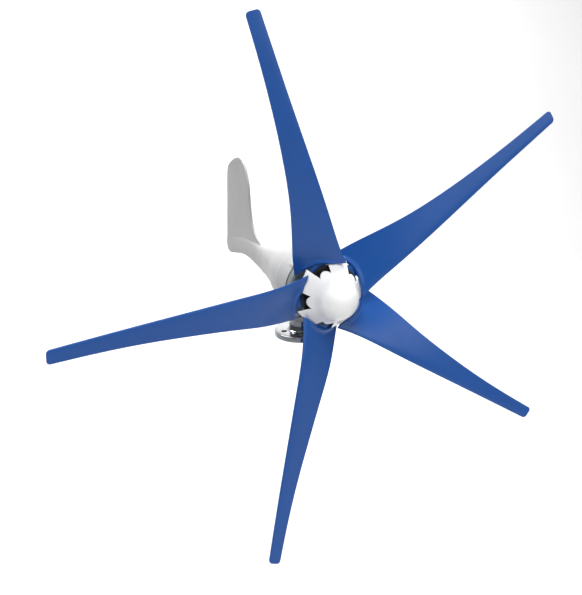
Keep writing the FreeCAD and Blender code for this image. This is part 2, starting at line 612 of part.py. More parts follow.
def blade():
    s = Part.makeLoft([section(*q) for q in STATIONS], True, False)
    # root end edge
    pts = [V(x, -320, AXIS_Z + r) for r, x in END_EDGE]
    pts = [V(110, -320, AXIS_Z + 20), V(110, -320, AXIS_Z + 70)] + pts + [V(-110, -320, AXIS_Z + 59), V(-110, -320, AXIS_Z + 20)]
    pts.append(pts[0])
    s = s.cut(Part.Face(Part.makePolygon(pts)).extrude(V(0, 260, 0)))
    # the thin leading corner clears the nose petal behind it
    prof = [(r, TIP_Y + y - 1.2) for r, y in NOSE if r > 44] + [(82, TIP_Y + 96.0), (82, TIP_Y + 108.0)]
    prof += [(r, TIP_Y + y + 12.0) for r, y in reversed(NOSE) if r > 44]
    relief = revolve_y(prof).common(box(8.5, 95.0, -260, -120, AXIS_Z + 20, AXIS_Z + 84))
    s = s.cut(relief)
    # rounded tip corners
    rc = 8.0
    for ux, sg in ((-35.0, 1), (-63.4, -1)):
        corner = box(min(ux, ux - sg * rc) - (0 if sg < 0 else 0) - (3 if sg < 0 else 0), max(ux, ux - sg * rc) + (3 if sg > 0 else 0), -320, -200, AXIS_Z + 600 - rc, AXIS_Z + 604)
        corner = corner.cut(Part.makeCylinder(rc, 130, V(ux - sg * rc, -325, AXIS_Z + 600 - rc), V(0, 1, 0)))
        s = s.cut(corner)
    # bolted root pad and the block that ties it to the blade
    pad = box(-20.5, 20.5, PAD_FRONT, PAD_FRONT + PAD_T, AXIS_Z + 28.0, AXIS_Z + 58.0)
    pad = pad.fuse(Part.makeCylinder(20.5, PAD_T, V(0, PAD_FRONT, AXIS_Z + 58.0), V(0, 1, 0)))
    block = box(-10.0, 14.0, PAD_FRONT + 0.5, PAD_FRONT + PAD_T, AXIS_Z + 64.0, AXIS_Z + 88.0)
    pad = pad.fuse(block)
    for sx in (-1, 1):
        q = Part.makePolygon([V(sx * 25, -170, AXIS_Z + 25), V(sx * 25, -170, AXIS_Z + 38), V(sx * 20.5, -170, AXIS_Z + 38), V(sx * 14.5, -170, AXIS_Z + 25), V(sx * 25, -170, AXIS_Z + 25)])
        pad = pad.cut(Part.Face(q).extrude(V(0, 40, 0)))
    for d in BOLT_S:
        pad = pad.cut(Part.makeCylinder(BOLT_R, 40, V(0, -170, AXIS_Z + d), V(0, 1, 0)))
    pad = turned(pad, PAD_TILT)
    s = s.fuse(pad)
    return s


b0 = blade()
print("blade solids", len(b0.Solids), b0.isValid())
for k in range(BLADE_COUNT):
    save("blade_%d" % (k + 1), turned(b0, BLADE_START + 72 * k))
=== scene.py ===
import json
import math

import bmesh
import bpy
import numpy as np
from mathutils import Matrix, Vector


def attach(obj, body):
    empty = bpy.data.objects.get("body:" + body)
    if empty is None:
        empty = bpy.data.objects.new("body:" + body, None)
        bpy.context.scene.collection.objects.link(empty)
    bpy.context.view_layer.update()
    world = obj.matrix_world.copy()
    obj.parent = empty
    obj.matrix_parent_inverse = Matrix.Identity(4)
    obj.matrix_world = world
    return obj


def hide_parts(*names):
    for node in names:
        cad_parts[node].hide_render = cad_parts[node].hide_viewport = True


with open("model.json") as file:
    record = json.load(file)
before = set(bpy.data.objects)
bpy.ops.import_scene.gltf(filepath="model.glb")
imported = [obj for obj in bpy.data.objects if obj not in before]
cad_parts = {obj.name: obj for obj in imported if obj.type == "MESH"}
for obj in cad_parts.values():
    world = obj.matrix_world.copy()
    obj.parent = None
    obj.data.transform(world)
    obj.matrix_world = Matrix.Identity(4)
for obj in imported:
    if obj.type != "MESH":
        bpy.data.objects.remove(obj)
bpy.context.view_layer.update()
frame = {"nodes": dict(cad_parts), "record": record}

NODES = frame["nodes"]


# ------------------------------------------------------------------ sizes, metres
AXIS_Z = 0.145
TIP_Y = -0.250
BLADE_START = -13.2
PAD_TILT = -8.0
PAD_FRONT = -0.157
PAD_T = 0.010
FLANGE_R = 0.065
FLANGE_T = 0.013
NECK_R = 0.029
NECK_TOP = 0.040


# ------------------------------------------------------------------ material helpers
def new_mat(name):
    m = bpy.data.materials.new(name)
    m.use_nodes = True
    nt = m.node_tree
    return m, nt, nt.nodes["Principled BSDF"]


def coords(nt):
    return nt.nodes.new("ShaderNodeTexCoord").outputs["Object"]


def noise(nt, co, scale, detail=4.0, rough=0.55, stretch=None):
    if stretch is not None:
        mp = nt.nodes.new("ShaderNodeMapping")
        mp.inputs["Scale"].default_value = stretch
        nt.links.new(co, mp.inputs["Vector"])
        co = mp.outputs["Vector"]
    n = nt.nodes.new("ShaderNodeTexNoise")
    n.inputs["Scale"].default_value = scale
    n.inputs["Detail"].default_value = detail
    n.inputs["Roughness"].default_value = rough
    nt.links.new(co, n.inputs["Vector"])
    return n.outputs["Fac"]


def ramp(nt, fac, stops):
    r = nt.nodes.new("ShaderNodeValToRGB")
    e = r.color_ramp.elements
    while len(e) < len(stops):
        e.new(0.5)
    for k, (p, c) in enumerate(stops):
        e[k].position = p
        e[k].color = tuple(c) + (1.0,) if len(c) == 3 else c
    nt.links.new(fac, r.inputs["Fac"])
    return r.outputs["Color"]


def spread(nt, fac, lo, hi):
    m = nt.nodes.new("ShaderNodeMapRange")
    m.inputs["From Min"].default_value = 0.3
    m.inputs["From Max"].default_value = 0.7
    m.inputs["To Min"].default_value = lo
    m.inputs["To Max"].default_value = hi
    nt.links.new(fac, m.inputs["Value"])
    return m.outputs["Result"]


def math_node(nt, op, a, b):
    m = nt.nodes.new("ShaderNodeMath")
    m.operation = op
    for s, v in ((0, a), (1, b)):
        if isinstance(v, (int, float)):
            m.inputs[s].default_value = v
        else:
            nt.links.new(v, m.inputs[s])
    return m.outputs["Value"]


def bump(nt, height, strength, distance, chain=None):
    b = nt.nodes.new("ShaderNodeBump")
    b.inputs["Strength"].default_value = strength
    b.inputs["Distance"].default_value = distance
    nt.links.new(height, b.inputs["Height"])
    if chain is not None:
        nt.links.new(chain, b.inputs["Normal"])
    return b.outputs["Normal"]


def moulded(name, colour, rough, grain=900.0, grain_depth=0.00006, variation=0.06, coat=0.0, wave=0.0, spec=0.5):
    """Injection moulded plastic: fine spark texture, slow sink waves, slight gloss changes."""
    m, nt, p = new_mat(name)
    co = coords(nt)
    slow = noise(nt, co, 7.0, 2.0)
    dark = tuple(c * (1 - variation) for c in colour)
    light = tuple(min(1.0, c * (1 + variation)) for c in colour)
    nt.links.new(ramp(nt, slow, [(0.25, dark), (0.75, light)]), p.inputs["Base Color"])
    mid = noise(nt, co, 60.0, 4.0)
    nt.links.new(spread(nt, mid, rough - 0.04, rough + 0.05), p.inputs["Roughness"])
    n1 = bump(nt, noise(nt, co, 11.0, 1.0), 1.0, wave) if wave else None
    nt.links.new(bump(nt, noise(nt, co, grain, 2.0), 0.35, grain_depth, n1), p.inputs["Normal"])
    p.inputs["Specular IOR Level"].default_value = spec
    p.inputs["Coat Weight"].default_value = coat
    p.inputs["Coat Roughness"].default_value = 0.06
    return m


def paint(name, colour, rough, peel=420.0, depth=0.00012, spec=0.5):
    """Powder coat over a casting: orange peel, faint casting waves, tiny colour change."""
    m, nt, p = new_mat(name)
    co = coords(nt)
    slow = noise(nt, co, 9.0, 4.0)
    dark = tuple(c * 0.94 for c in colour)
    light = tuple(min(1.0, c * 1.05) for c in colour)
    nt.links.new(ramp(nt, slow, [(0.3, dark), (0.7, light)]), p.inputs["Base Color"])
    nt.links.new(spread(nt, noise(nt, co, 45.0, 5.0), rough - 0.05, rough + 0.06), p.inputs["Roughness"])
    n1 = bump(nt, noise(nt, co, 24.0, 2.0), 0.6, 0.0004)
    nt.links.new(bump(nt, noise(nt, co, peel, 2.0), 0.5, depth, n1), p.inputs["Normal"])
    p.inputs["Specular IOR Level"].default_value = spec
    return m


def turned_metal(name, colour, rough, axis="Z", centre=(0, 0, 0), pitch=2600.0, depth=0.00002, painted_top_highlight=None):
    """Lathe turned metal: fine concentric tool marks about an axis, with soft smears, and optionally a painted
    highlight on faces that point up.
    """
    m, nt, p = new_mat(name)
    co = coords(nt)
    mp = nt.nodes.new("ShaderNodeMapping")
    mp.inputs["Location"].default_value = tuple(-c for c in centre)
    nt.links.new(co, mp.inputs["Vector"])
    w = nt.nodes.new("ShaderNodeTexWave")
    w.wave_type = "RINGS"
    w.rings_direction = axis
    w.inputs["Scale"].default_value = pitch / 20.0
    w.inputs["Distortion"].default_value = 0.6
    w.inputs["Detail"].default_value = 2.0
    w.inputs["Detail Scale"].default_value = 1.0
    nt.links.new(mp.outputs["Vector"], w.inputs["Vector"])
    smear = noise(nt, co, 38.0, 5.0)
    both = math_node(nt, "MULTIPLY", w.outputs["Fac"], 0.06)
    base = spread(nt, smear, rough - 0.04, rough + 0.06)
    nt.links.new(math_node(nt, "ADD", base, both), p.inputs["Roughness"])
    dark = tuple(c * 0.9 for c in colour)
    tone = ramp(nt, noise(nt, co, 20.0, 5.0), [(0.3, dark), (0.65, colour)])
    if painted_top_highlight is not None:
        # painted highlight: faces square to the axis that point up get a much lighter colour standing in for
        # reflected light from above, while the turned sides keep the darker tone
        sep = nt.nodes.new("ShaderNodeSeparateXYZ")
        nt.links.new(nt.nodes.new("ShaderNodeTexCoord").outputs["Normal"], sep.inputs["Vector"])
        mix = nt.nodes.new("ShaderNodeMix")
        mix.data_type = "RGBA"
        mix.clamp_factor = True
        rng = nt.nodes.new("ShaderNodeMapRange")
        rng.inputs["From Min"].default_value = 0.55
        rng.inputs["From Max"].default_value = 0.95
        nt.links.new(sep.outputs["Z"], rng.inputs["Value"])
        nt.links.new(rng.outputs["Result"], mix.inputs[0])
        nt.links.new(tone, mix.inputs[6])
        top_highlight_tone = ramp(nt, noise(nt, co, 34.0, 5.0), [(0.3, tuple(c * 0.86 for c in painted_top_highlight)), (0.65, painted_top_highlight)])
        nt.links.new(top_highlight_tone, mix.inputs[7])
        tone = mix.outputs[2]
    nt.links.new(tone, p.inputs["Base Color"])
    nt.links.new(bump(nt, w.outputs["Fac"], 0.25, depth), p.inputs["Normal"])
    p.inputs["Metallic"].default_value = 1.0
    return m


def metal(name, colour, rough, scale=160.0, depth=0.00003, metallic=1.0):
    """Plated or ground metal: fine random scratches, smudged gloss."""
    m, nt, p = new_mat(name)
    co = coords(nt)
    dark = tuple(c * 0.82 for c in colour)
    nt.links.new(ramp(nt, noise(nt, co, scale * 0.5, 5.0), [(0.3, dark), (0.7, colour)]), p.inputs["Base Color"])
    nt.links.new(spread(nt, noise(nt, co, scale, 6.0), rough - 0.06, rough + 0.08), p.inputs["Roughness"])
    nt.links.new(bump(nt, noise(nt, co, scale * 6.0, 3.0), 0.3, depth), p.inputs["Normal"])
    p.inputs["Metallic"].default_value = metallic
    return m


def plain_rubber(name, colour, rough):
    m, nt, p = new_mat(name)
    co = coords(nt)
    light = tuple(c * 1.6 for c in colour)
    nt.links.new(ramp(nt, noise(nt, co, 40.0, 4.0), [(0.3, colour), (0.75, light)]), p.inputs["Base Color"])
    nt.links.new(spread(nt, noise(nt, co, 110.0, 4.0), rough - 0.06, rough + 0.08), p.inputs["Roughness"])
    nt.links.new(bump(nt, noise(nt, co, 1500.0, 2.0), 0.4, 0.00006), p.inputs["Normal"])
    return m


def wound(name, colour):
    """Enamelled wire: rows of turns about 0.9 mm apart."""
    m, nt, p = new_mat(name)
    co = coords(nt)
    w = nt.nodes.new("ShaderNodeTexWave")
    w.bands_direction = "Y"
    w.inputs["Scale"].default_value = 350.0
    w.inputs["Distortion"].default_value = 0.8
    nt.links.new(co, w.inputs["Vector"])
    dark = tuple(c * 0.35 for c in colour)
    nt.links.new(ramp(nt, w.outputs["Fac"], [(0.1, dark), (0.6, colour)]), p.inputs["Base Color"])
    nt.links.new(bump(nt, w.outputs["Fac"], 0.8, 0.0003), p.inputs["Normal"])
    nt.links.new(spread(nt, noise(nt, co, 200.0, 3.0), 0.24, 0.34), p.inputs["Roughness"])
    p.inputs["Metallic"].default_value = 0.6
    return m


def laminated(name, colour, axis="Y"):
    """Stack of 0.5 mm sheets."""
    m, nt, p = new_mat(name)
    co = coords(nt)
    w = nt.nodes.new("ShaderNodeTexWave")
    w.bands_direction = axis
    w.inputs["Scale"].default_value = 620.0
    nt.links.new(co, w.inputs["Vector"])
    dark = tuple(c * 0.45 for c in colour)
    nt.links.new(ramp(nt, w.outputs["Fac"], [(0.2, dark), (0.5, colour)]), p.inputs["Base Color"])
    nt.links.new(bump(nt, w.outputs["Fac"], 0.5, 0.0001), p.inputs["Normal"])
    nt.links.new(spread(nt, noise(nt, co, 90.0, 3.0), 0.38, 0.5), p.inputs["Roughness"])
    p.inputs["Metallic"].default_value = 0.8
    return m


BLUE = (0.0042, 0.0655, 0.2830)
MATS = {
    "blade_plastic": moulded("blade_blue_plastic", BLUE, 0.33, grain=900.0, grain_depth=0.000015, variation=0.05, wave=0.0003, spec=0.42),
    "nose_plastic": moulded("nose_white_plastic", (0.785, 0.785, 0.782), 0.38, grain=1400.0, grain_depth=0.00001, variation=0.01, coat=0.15),
    "housing_paint": paint("housing_grey_coat", (0.312, 0.312, 0.314), 0.42),
    "cover_paint": paint("cover_grey_coat", (0.152, 0.174, 0.170), 0.36),
    # flange steel carries a painted highlight: up-facing faces are coloured much lighter than the sides
    "polished_steel": turned_metal("flange_turned_steel", (0.23, 0.245, 0.265), 0.15, painted_top_highlight=(0.66, 0.67, 0.68)),
    "black_metal": paint("hub_black_coat", (0.012, 0.012, 0.013), 0.34, peel=600.0, depth=0.00008),
    "rubber": plain_rubber("seal_rubber", (0.018, 0.018, 0.018), 0.62),
    "phenolic": moulded("insulator_phenolic", (0.16, 0.07, 0.03), 0.45, variation=0.15),
    "brass": turned_metal("slip_ring_brass", (0.72, 0.47, 0.18), 0.22),
    "carbon": metal("brush_carbon", (0.05, 0.05, 0.055), 0.45, metallic=0.2),
    "copper_wire": wound("winding_copper", (0.52, 0.17, 0.05)),
    "core_steel": laminated("core_sheet_steel", (0.30, 0.30, 0.31)),
    "magnet": metal("magnet_nickel", (0.58, 0.57, 0.55), 0.24),
    "cage": metal("cage_brass", (0.66, 0.48, 0.24), 0.32),
    "bearing_steel": turned_metal("bearing_ground_steel", (0.62, 0.63, 0.65), 0.15, axis="Y", centre=(0, 0, AXIS_Z)),
    "fastener_steel": metal("fastener_zinc", (0.50, 0.51, 0.52), 0.30),
    "machined_steel": turned_metal("shaft_turned_steel", (0.52, 0.53, 0.55), 0.26, axis="Y", centre=(0, 0, AXIS_Z)),
}

SLOT_OF = {s["node"]: s["material_slot"] for s in frame["record"]["subparts"]}
for name, ob in NODES.items():
    ob.data.materials.clear()
    ob.data.materials.append(MATS[SLOT_OF[name]])


# ------------------------------------------------------------------ mesh helpers
def add_mesh(name, verts, faces, slot_name, body, smooth=True):
    me = bpy.data.meshes.new(name)
    me.from_pydata([tuple(v) for v in verts], [], faces)
    me.validate()
    me.update()
    ob = bpy.data.objects.new(name, me)
    bpy.context.scene.collection.objects.link(ob)
    me.materials.append(MATS[slot_name])
    if smooth:
        me.polygons.foreach_set("use_smooth", [True] * len(me.polygons))
    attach(ob, body)
    return ob


def recalc(ob):
    bm = bmesh.new()
    bm.from_mesh(ob.data)
    bmesh.ops.remove_doubles(bm, verts=bm.verts, dist=1e-6)
    bmesh.ops.recalc_face_normals(bm, faces=bm.faces)
    bm.to_mesh(ob.data)
    bm.free()


def bevelled(ob, width, segments=3, angle=40.0):
    b = ob.modifiers.new("edge", "BEVEL")
    b.width = width
    b.segments = segments
    b.limit_method = "ANGLE"
    b.angle_limit = math.radians(angle)
    b.use_clamp_overlap = True
    w = ob.modifiers.new("normals", "WEIGHTED_NORMAL")
    w.keep_sharp = True
    return ob


def rot_about_rotor(p, deg):
    """Turns points about the rotor axis; positive goes from +Z toward +X."""
    a = math.radians(deg)
    c, s = math.cos(a), math.sin(a)
    q = np.array(p, float).copy()
    x, z = q[:, 0].copy(), q[:, 2] - AXIS_Z
    q[:, 0] = c * x + s * z
    q[:, 2] = AXIS_Z - s * x + c * z
    return q


def cubic(xs, ys):
    """Natural cubic spline through points."""
    xs, ys = np.array(xs, float), np.array(ys, float)
    n = len(xs)
    h = np.diff(xs)
    A = np.eye(n)
    b = np.zeros(n)
    for i in range(1, n - 1):
        A[i, i - 1] = h[i - 1]
        A[i, i] = 2 * (h[i - 1] + h[i])
        A[i, i + 1] = h[i]
        b[i] = 6 * ((ys[i + 1] - ys[i]) / h[i] - (ys[i] - ys[i - 1]) / h[i - 1])
    m = np.linalg.solve(A, b)

    def f(x):
        x = np.asarray(x, float)
        k = np.clip(np.searchsorted(xs, x) - 1, 0, n - 2)
        a = (xs[k + 1] - x) / h[k]
        c = (x - xs[k]) / h[k]
        return a * ys[k] + c * ys[k + 1] + ((a ** 3 - a) * m[k] + (c ** 3 - c) * m[k + 1]) * h[k] ** 2 / 6

    return f


def sstep(x):
    x = np.clip(x, 0.0, 1.0)
    return x * x * (3 - 2 * x)


# ------------------------------------------------------------------ nose cone
NOSE = [(0, 10), (9, 10.9), (18, 13.6), (27, 18.6), (34.6, 25.4), (40.4, 33), (44.5, 41), (47.2, 49), (50.2, 56), (54.6, 63.3), (60.2, 71.2), (68.7, 82), (80, 95)]


def nose_curve():
    """Smooth profile through the points, by length along it."""
    r = np.array([-p[0] for p in NOSE[:0:-1]] + [p[0] for p in NOSE], float)
    y = np.array([p[1] for p in NOSE[:0:-1]] + [p[1] for p in NOSE], float)
    s = np.concatenate([[0], np.cumsum(np.hypot(np.diff(r), np.diff(y)))])
    fr, fy = cubic(s, r), cubic(s, y)
    ss = np.linspace(s[len(NOSE) - 1], s[-1], 900)
    rr, yy = fr(ss), fy(ss)
    rr[0] = 0.0
    return rr, yy


NR, NY = nose_curve()


def nose_y(r):
    return np.interp(r, NR, NY)


def nose_normal(r):
    """Unit vector pointing inward from the outer surface, as (radial, y)."""
    e = 0.25
    dy = (nose_y(np.asarray(r) + e) - nose_y(np.maximum(np.asarray(r) - e, 0))) / (np.asarray(r) + e - np.maximum(np.asarray(r) - e, 0))
    ln = np.hypot(1, dy)
    return -dy / ln, 1 / ln


def rounded_outline(pts, radii, step=0.6):
    """Closed polygon with each corner turned into an arc."""
    out = []
    n = len(pts)
    for i in range(n):
        p0, p1, p2 = (np.array(pts[(i + k) % n], float) for k in (-1, 0, 1))
        a, b = p0 - p1, p2 - p1
        la, lb = np.linalg.norm(a), np.linalg.norm(b)
        a, b = a / la, b / lb
        ang = math.acos(max(-1, min(1, float(a @ b))))
        rad = radii[i]
        if rad <= 0 or ang > 3.0:
            out.append(p1)
            continue
        d = min(rad / math.tan(ang / 2), 0.45 * la, 0.45 * lb)
        rad = d * math.tan(ang / 2)
        s, e = p1 + a * d, p1 + b * d
        c = p1 + (a + b) / np.linalg.norm(a + b) * (rad / math.sin(ang / 2))
        v0, v1 = s - c, e - c
        t0 = math.atan2(v0[1], v0[0])
        dt = (math.atan2(v1[1], v1[0]) - t0 + math.pi) % (2 * math.pi) - math.pi
        m = max(3, int(abs(dt) * rad / step) + 2)
        for k in range(m + 1):
            t = t0 + dt * k / m
            out.append(c + rad * np.array([math.cos(t), math.sin(t)]))
    dense = []
    for i in range(len(out)):
        a, b = out[i], out[(i + 1) % len(out)]
        m = max(1, int(np.linalg.norm(b - a) / step))
        for k in range(m):
            dense.append(a + (b - a) * k / m)
    return np.array(dense)


def nose_boundary():
    """One fifth: half petal, notch, lobe, notch, half petal, as a polygon, then rounded."""
    pts, radii = [], []
    for k in range(5):
        base = math.radians(BLADE_START + PAD_TILT + 72 * k)

        def put(x, s, rad):
            pts.append((x * math.cos(base) + s * math.sin(base), -x * math.sin(base) + s * math.cos(base)))
            radii.append(rad)

        # lobe from its trailing to its leading side
        for t in range(-96, 97, 8):
            a = math.radians(t)
            put(15.2 * math.sin(a), 47.3 + 15.2 * math.cos(a), 0)
        # petal on the leading side, centred 36 degrees on
        c, s_ = math.cos(math.radians(36)), math.sin(math.radians(36))
        for x, s, rad in ((-19.9, 40.5, 1.5), (-24.5, 76.5, 1.3), (24.5, 76.5, 1.3), (19.9, 40.5, 1.5)):
            put(x * c + s * s_, -x * s_ + s * c, rad)
    return rounded_outline(pts, radii)


def build_nose():
    bd = nose_boundary()
    R = np.hypot(bd[:, 0], bd[:, 1])
    n = len(bd)
    T = 2.3
    f = np.concatenate([np.linspace(0.02, 0.9, 56), np.linspace(0.915, 1.0, 9)])
    verts, faces = [], []
    verts.append((0, TIP_Y * 1000 + NY[0], 0))
    rings = []
    for side in (0, 1):
        first = len(verts)
        for q in f:
            r = R * q
            y = nose_y(r)
            ux, uz = bd[:, 0] / R, bd[:, 1] / R
            if side == 0:
                # the rim is eased over by half a millimetre
                ease = np.clip((R - r) / 0.55, 0, 1)
                y = y + (1 - np.sqrt(1 - (1 - ease) ** 2)) * 0.5
                x, z = ux * r, uz * r
            else:
                nr, ny = nose_normal(r)
                rr = np.maximum(r + nr * T, 0.05) * (1 if q < 1 else 1)
                rr = np.where(q >= 1.0, r, np.minimum(rr, r))
                y = y + ny * T + np.where(q >= 1.0, (T * 0.35), 0.0)
                x, z = ux * rr, uz * rr
            for i in range(n):
                verts.append((x[i], TIP_Y * 1000 + y[i], z[i]))
        rings.append(first)
        if side == 0:
            verts_apex_in = None
    apex_in = len(verts)
    verts.append((0, TIP_Y * 1000 + NY[0] + T, 0))
    m = len(f)
    a, b = rings
    for i in range(n):
        j = (i + 1) % n
        faces.append((0, a + i, a + j))
        faces.append((apex_in, b + j, b + i))
        for k in range(m - 1):
            faces.append((a + k * n + i, a + (k + 1) * n + i, a + (k + 1) * n + j, a + k * n + j))
            faces.append((b + k * n + j, b + (k + 1) * n + j, b + (k + 1) * n + i, b + k * n + i))
        k = m - 1
        faces.append((a + k * n + i, b + k * n + i, b + k * n + j, a + k * n + j))
    v = np.array(verts, float) / 1000.0
    v[:, 2] += AXIS_Z
    ob = add_mesh("nose_cone_shell", v, faces, "nose_plastic", "rotor")
    recalc(ob)
    ob.data.polygons.foreach_set("use_smooth", [True] * len(ob.data.polygons))
    bevelled(ob, 0.00035, 2, 50.0)
    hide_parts("nose_cone")
    # moulded screw posts behind the petals
    pv, pf = [], []
    for k in range(5):
        an = math.radians(BLADE_START + PAD_TILT + 72 * k + 36)
        cx, cz = 54 * math.sin(an), 54 * math.cos(an)
        ring = [(4.4, None), (4.2, -166.0), (4.2, -163.2), (3.9, -162.0), (2.1, -162.0), (2.0, -169.0)]
        base = len(pv)
        S = 40
        for r_, y_ in ring:
            for i in range(S):
                t = 2 * math.pi * i / S
                px, pz = cx + r_ * math.cos(t), cz + r_ * math.sin(t)
                py = TIP_Y * 1000 + float(nose_y(math.hypot(px, pz))) + 1.2 if y_ is None else y_
                pv.append((px / 1000, py / 1000, AXIS_Z + pz / 1000))
        for q in range(len(ring) - 1):
            for i in range(S):
                j = (i + 1) % S
                pf.append((base + q * S + i, base + q * S + j, base + (q + 1) * S + j, base + (q + 1) * S + i))
        pf.append(tuple(base + (len(ring) - 1) * S + i for i in range(S)))
        pf.append(tuple(base + i for i in reversed(range(S))))
    posts = add_mesh("nose_cone_posts", pv, pf, "nose_plastic", "rotor")
    recalc(posts)
    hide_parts("nose_cone")
    return ob


# ------------------------------------------------------------------ blades
STATIONS = [
    (46, 54.0, -57.5, 82.0, 122.0, 12.0),
    (84, 42.5, -58.5, 72.5, 108.8, 11.5),
    (144, 30.5, -57.0, 58.0, 83.5, 10.0),
    (216, 20.6, -51.5, 47.0, 61.0, 8.4),
    (312, 7.0, -48.2, 36.2, 42.2, 7.0),
    (432, -10.6, -50.2, 23.6, 25.6, 5.8),
    (540, -26.2, -57.6, 9.8, 10.6, 4.8),
    (600, -35.0, -63.4, 1.6, 2.0, 4.2),
]
END_EDGE = [(66, 78), (59.5, 52), (59.5, 49.5), (62.0, 40), (65.0, 30), (68.0, 20), (71.5, 10), (74.0, 0), (75.5, -10), (75.0, -20), (72.5, -30), (68.0, -40), (63.0, -49), (60.0, -57), (59.0, -66)]
F_ULE, F_UTE, F_YLE, F_YTE, F_T = (cubic([s[0] for s in STATIONS], [s[k] for s in STATIONS]) for k in range(1, 6))
E_U = [p[1] for p in END_EDGE][::-1]
E_R = [p[0] for p in END_EDGE][::-1]


def blade_points(x, r, front):
    """Points of the blade that stands straight up; x is the chord fraction from the leading edge."""
    ul, ut, yl, yt, t = F_ULE(r), F_UTE(r), F_YLE(r), F_YTE(r), F_T(r)
    du, dy = ut - ul, yt - yl
    c = np.hypot(du, dy)
    du, dy = du / c, dy / c
    nu, ny = dy, -du
    flip = np.where(ny < 0, -1.0, 1.0)
    nu, ny = nu * flip, ny * flip
    te = np.maximum(0.9, 0.14 * t)
    th = t * (2.969 * np.sqrt(x) - 1.26 * x - 3.516 * x * x + 2.843 * x ** 3 - 1.036 * x ** 4)
    th = th * 0.5 + te * 0.5 * x
    camber = 0.045 * c * (1 - (2 * x - 1) ** 2) * 0.5
    off = camber + (-th if front else th)
    return ul + du * x * c + nu * off, TIP_Y * 1000 + yl + dy * x * c + ny * off, r


def span_lines(r0, r1):
    """Distances along one span line: close together at the root lip and the tip."""
    root = list(np.arange(0, 9.01, 0.75)) + [10.2, 11.8, 14.0, 17.0, 20.5]
    tip = [0.0, 0.6, 1.4, 2.6, 4.5, 7.5, 12.0]
    n = 74
    L = r1 - r0
    midr = np.linspace(root[-1], L - tip[-1], n + 1)[1:-1]
    return np.concatenate([root, midr, [L - t for t in tip[::-1]]]) + r0


def build_blade(k):
    NC = 46
    xs = 0.5 * (1 - np.cos(np.linspace(0, math.pi, NC)))
    cols = [(x, False) for x in xs[::-1]] + [(x, True) for x in xs[1:]]
    verts, grid = [], []
    for x, front in cols:
        r = 66.0
        for _ in range(30):
            u = float(F_ULE(r) + (F_UTE(r) - F_ULE(r)) * x)
            r = 0.5 * r + 0.5 * float(np.interp(u, E_U, E_R))
        chord = float(F_ULE(600) - F_UTE(600))
        e = min(x, 1 - x) * chord
        r1 = 600.0 if e >= 8 else 592.0 + math.sqrt(max(0.0, 64 - (8 - e) ** 2))
        rs = span_lines(r, r1)
        xx = np.full_like(rs, x)
        u, y, z = blade_points(xx, rs, front)
        rad = np.hypot(u, z)
        # the leading root corner passes in front of the nose petal
        wgt = sstep((88 - rad) / 7.0) * sstep((u - 3.0) / 8.0)
        lim = TIP_Y * 1000 + nose_y(np.minimum(rad, 80.0)) - 1.3
        if front:
            y = y - wgt * np.maximum(0.0, y - (lim - 1.7))
        else:
            y = np.where(wgt > 0.02, y - wgt * np.maximum(0.0, y - lim), y)
        d = rs - r
        if front:
            # raised rim round the bolt pocket
            arch = sstep((u + 52.0) / 12.0) * sstep((30.0 - u) / 12.0)
            y = y - arch * 3.5 * np.exp(-((d - 3.8) / 4.4) ** 2)
            # shallow dish outside the rim
            y = y + arch * 0.5 * np.exp(-((d - 15.0) / 4.0) ** 2)
        start = len(verts)
        for i in range(len(rs)):
            verts.append((u[i], y[i], z[i]))
        grid.append(start)
    m = len(rs)
    n = len(cols)
    faces = []
    for c in range(n):
        a = grid[c]
        b = grid[(c + 1) % n]
        for i in range(m - 1):
            faces.append((a + i, a + i + 1, b + i + 1, b + i))
    # end walls join front and rear lines of the same chord fraction
    for c in range(NC - 1):
        r_a, r_b = grid[c], grid[c + 1]
        f_a, f_b = grid[n - 1 - c], grid[n - 2 - c] if c < NC - 2 else grid[NC - 1]
        for i in (0, m - 1):
            q = (r_a + i, r_b + i, f_b + i, f_a + i)
            q = tuple(dict.fromkeys(q))
            faces.append(q)
    v = np.array(verts, float) / 1000.0
    v[:, 2] += AXIS_Z
    v = rot_about_rotor(v, BLADE_START + 72 * k)
    ob = add_mesh("blade_skin_%d" % (k + 1), v, faces, "blade_plastic", "rotor")
    recalc(ob)
    ob.data.polygons.foreach_set("use_smooth", [True] * len(ob.data.polygons))
    bevelled(ob, 0.0007, 3, 48.0)
    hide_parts("blade_%d" % (k + 1))

    # bolted root pad with the rib that runs out under the skin
    out = []
    for x, s in ((-14.5, 28), (14.5, 28), (20.5, 38)):
        out.append((x, s))
    for t in range(0, 181, 6):
        a = math.radians(t)
        out.append((20.5 * math.cos(a), 58 + 20.5 * math.sin(a)))
    out.append((-20.5, 38))
    bm = bmesh.new()

    def slab(poly, y0, y1):
        lo = [bm.verts.new((p[0] / 1000, y0, AXIS_Z + p[1] / 1000)) for p in poly]
        hi = [bm.verts.new((p[0] / 1000, y1, AXIS_Z + p[1] / 1000)) for p in poly]
        bm.faces.new(lo)
        bm.faces.new(hi[::-1])
        for i in range(len(poly)):
            j = (i + 1) % len(poly)
            bm.faces.new((lo[j], lo[i], hi[i], hi[j]))

    slab(out, PAD_FRONT, PAD_FRONT + PAD_T)
    slab([(-10, 64), (14, 64), (14, 86), (12, 88), (-8, 88), (-10, 86)], PAD_FRONT + 0.0005, PAD_FRONT + PAD_T)
    me = bpy.data.meshes.new("blade_pad_%d" % (k + 1))
    bmesh.ops.recalc_face_normals(bm, faces=bm.faces)
    bm.to_mesh(me)
    bm.free()
    co = np.zeros(len(me.vertices) * 3)
    me.vertices.foreach_get("co", co)
    co = rot_about_rotor(co.reshape(-1, 3), PAD_TILT + BLADE_START + 72 * k)
    me.vertices.foreach_set("co", co.ravel())
    pad = bpy.data.objects.new("blade_pad_%d" % (k + 1), me)
    bpy.context.scene.collection.objects.link(pad)
    me.materials.append(MATS["blade_plastic"])
    me.polygons.foreach_set("use_smooth", [True] * len(me.polygons))
    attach(pad, "rotor")
    bevelled(pad, 0.0009, 3, 35.0)
    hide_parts("blade_%d" % (k + 1))
    return ob


